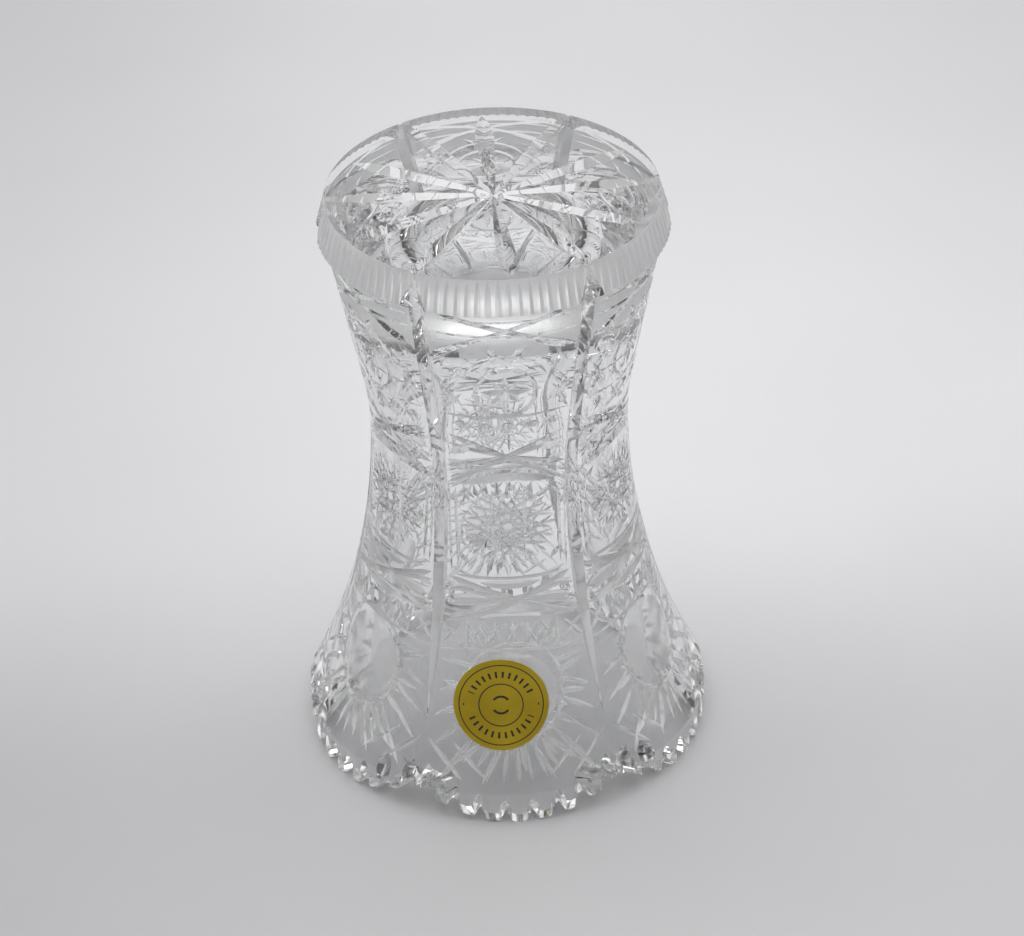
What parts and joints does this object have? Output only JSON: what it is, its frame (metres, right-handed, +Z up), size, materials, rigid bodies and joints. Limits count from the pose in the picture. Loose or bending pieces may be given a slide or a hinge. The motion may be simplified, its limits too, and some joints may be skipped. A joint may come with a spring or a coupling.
{
  "type": "cut crystal vase",
  "caption": "Waisted cut glass vase standing upside down on its scalloped sawtooth rim, with a star-cut foot, reeded foot band, grooved panels and a round foil label.",
  "frame": {"origin": "on the vase's axis, in the plane of the rim's lowest teeth, which the vase stands on upside down as shown; the centre of the bounding box's bottom", "axes": "+Z up along the vase's axis, from the rim to the foot's flat face, so +Z is the downward direction when the vase is in use; -Y points out of the panel with the foil label; +X is to the right seen from that side"},
  "size_m": [0.0862, 0.0864, 0.13],
  "materials": {
    "crystal": "polished lead crystal with satin grey wheel cuts",
    "adhesive": "thin pale pressure-sensitive adhesive",
    "foil": "satin gold foil with black printed rings"
  },
  "bodies": {
    "root": {"crystal_body": "crystal", "label_adhesive": "adhesive", "foil_label": "foil"}
  },
  "joints": []
}
